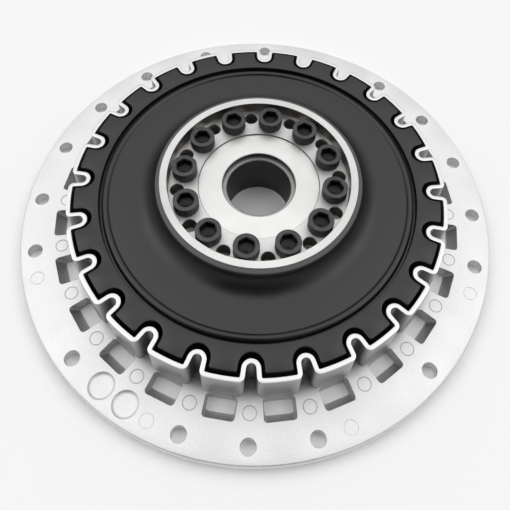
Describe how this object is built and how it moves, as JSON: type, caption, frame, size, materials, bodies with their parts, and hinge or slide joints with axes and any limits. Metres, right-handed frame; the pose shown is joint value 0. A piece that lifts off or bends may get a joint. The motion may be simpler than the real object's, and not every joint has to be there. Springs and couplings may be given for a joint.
{
  "type": "flexible coupling",
  "caption": "Flexible flywheel coupling: a cast flange with a corrugated toothed wall drives a moulded rubber disc bonded to a steel ring that is bolted to a bored hub.",
  "frame": {"origin": "centre of the flange's flywheel face, which lies on the table", "axes": "+Z along the shaft axis, from the flywheel to the driven shaft; -Y towards the bolt hole nearest the camera in the picture"},
  "size_m": [0.4666, 0.4666, 0.0725],
  "materials": {
    "cast_aluminium": "satin die casting with a machined top edge",
    "moulded_rubber": "moulded, semi-matt",
    "turned_steel": "turned",
    "hub_steel": "finely turned",
    "black_oxide_steel": "black oxide, lightly oiled"
  },
  "bodies": {
    "root": {"driving_ring": "cast_aluminium", "rubber_element": "moulded_rubber", "element_ring": "turned_steel", "hub": "hub_steel", "hub_screws": "black_oxide_steel"}
  },
  "joints": []
}
